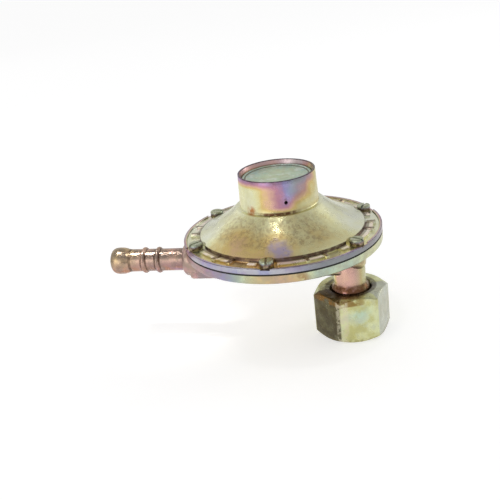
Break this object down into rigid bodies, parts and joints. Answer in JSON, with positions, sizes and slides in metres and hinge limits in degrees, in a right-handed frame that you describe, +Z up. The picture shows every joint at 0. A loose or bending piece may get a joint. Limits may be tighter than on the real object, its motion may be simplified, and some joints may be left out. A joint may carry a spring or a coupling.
{
  "type": "gas pressure regulator",
  "caption": "Low-pressure gas regulator: disc-shaped die-cast body, spring tower, ribbed hose nozzle on one side and a hanging hexagonal union nut on the other.",
  "frame": {"origin": "centre of the flat pad under the body, on the axis of the spring tower", "axes": "+Z up the spring tower, -X out of the hose nozzle, +X towards the inlet nut, whose opening faces -Z"},
  "size_m": [0.116, 0.08, 0.0701],
  "materials": {
    "body_zinc": "yellow chromated, satin",
    "bonnet_zinc": "yellow chromated, satin",
    "screw_steel": "yellow chromated",
    "nozzle_metal": "yellow chromated, glossy",
    "nipple_metal": "yellow chromated, glossy",
    "nut_metal": "yellow chromated, worn at the corners",
    "cap_metal": "satin",
    "rubber": "matt",
    "spring_steel": "bare",
    "plated_steel": "bright plated",
    "brass": "machined",
    "plastic": "matt",
    "gauze": "woven wire"
  },
  "bodies": {
    "housing": {"lower_body": "body_zinc", "bonnet": "bonnet_zinc", "seal_cap": "cap_metal", "cover_screw_1": "screw_steel", "cover_screw_2": "screw_steel", "cover_screw_3": "screw_steel", "cover_screw_4": "screw_steel", "cover_screw_5": "screw_steel", "cover_screw_6": "screw_steel", "diaphragm": "rubber", "hose_nozzle": "nozzle_metal", "inlet_nipple": "nipple_metal", "inlet_gasket": "rubber", "inlet_filter": "gauze", "valve_jet": "brass", "lever_pin": "plated_steel", "main_spring": "spring_steel"},
    "diaphragm_stack": {"diaphragm_plate": "plated_steel", "support_washer": "plated_steel", "stem": "plated_steel"},
    "valve_lever": {"lever": "plated_steel"},
    "plunger": {"valve_plunger": "plated_steel", "seat_pad": "rubber"},
    "spring_rest": {"spring_seat": "plated_steel"},
    "adjuster": {"adjusting_screw": "plastic"},
    "nut": {"union_nut": "nut_metal"}
  },
  "joints": [
    {"name": "union_nut_turn", "type": "hinge", "parent": "housing", "child": "nut", "pos_m": [0.0258, 0, -0.0162], "axis": [0, 0, 1], "continuous": true},
    {"name": "diaphragm_slide", "type": "slide", "parent": "housing", "child": "diaphragm_stack", "axis": [0, 0, 1], "range_m": [0, 0.002], "stiffness_N_per_m": 2600, "springref_m": -0.0025, "deforming": ["main_spring", "diaphragm"]},
    {"name": "lever_swing", "type": "hinge", "parent": "housing", "child": "valve_lever", "pos_m": [-0.011, 0, 0.0134], "axis": [0, 1, 0], "range_deg": [-10.5, 0]},
    {"name": "plunger_slide", "type": "slide", "parent": "housing", "child": "plunger", "axis": [1, 0, 0], "range_m": [0, 0.00111]},
    {"name": "spring_seat_slide", "type": "slide", "parent": "housing", "child": "spring_rest", "axis": [0, 0, 1], "range_m": [-0.00226, 0.00076], "deforming": ["main_spring"]},
    {"name": "adjuster_turn", "type": "hinge", "parent": "spring_rest", "child": "adjuster", "pos_m": [0, 0, 0.0386], "axis": [0, 0, 1], "range_deg": [-810, 270]}
  ],
  "couplings": [
    {"joint": "lever_swing", "follows": "diaphragm_slide", "rad_per_m": -90.909},
    {"joint": "plunger_slide", "follows": "diaphragm_slide", "ratio": 0.55455},
    {"joint": "spring_seat_slide", "follows": "adjuster_turn", "m_per_rad": 0.00015915}
  ]
}
